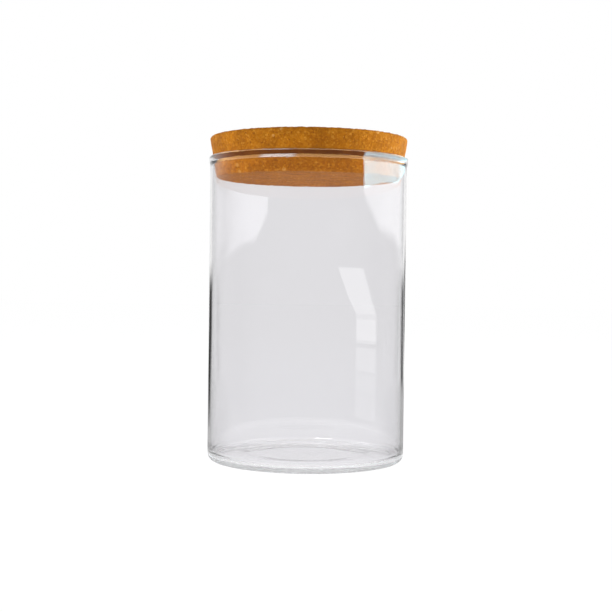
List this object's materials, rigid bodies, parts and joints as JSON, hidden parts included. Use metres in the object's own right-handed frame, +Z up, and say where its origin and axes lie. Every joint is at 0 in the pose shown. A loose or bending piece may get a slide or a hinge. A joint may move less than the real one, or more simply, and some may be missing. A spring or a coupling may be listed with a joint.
{
  "type": "glass storage jar with cork stopper",
  "caption": "Straight-sided clear glass storage jar with a rounded bead at the rim, closed by a tapered stopper of pressed cork that lifts off.",
  "frame": {"origin": "middle of the ring that the jar stands on, at table level", "axes": "+Z up along the axis of the jar and the stopper; the object is round, so +X and +Y are free"},
  "size_m": [0.1012, 0.1012, 0.1639],
  "materials": {
    "clear_glass": "polished",
    "cork": "matte"
  },
  "bodies": {
    "jar": {"glass_jar": "clear_glass"},
    "stopper": {"cork_stopper": "cork"}
  },
  "joints": [
    {"name": "stopper_lift", "type": "slide", "parent": "jar", "child": "stopper", "axis": [0, 0, 1], "range_m": [0, 0.11]}
  ]
}
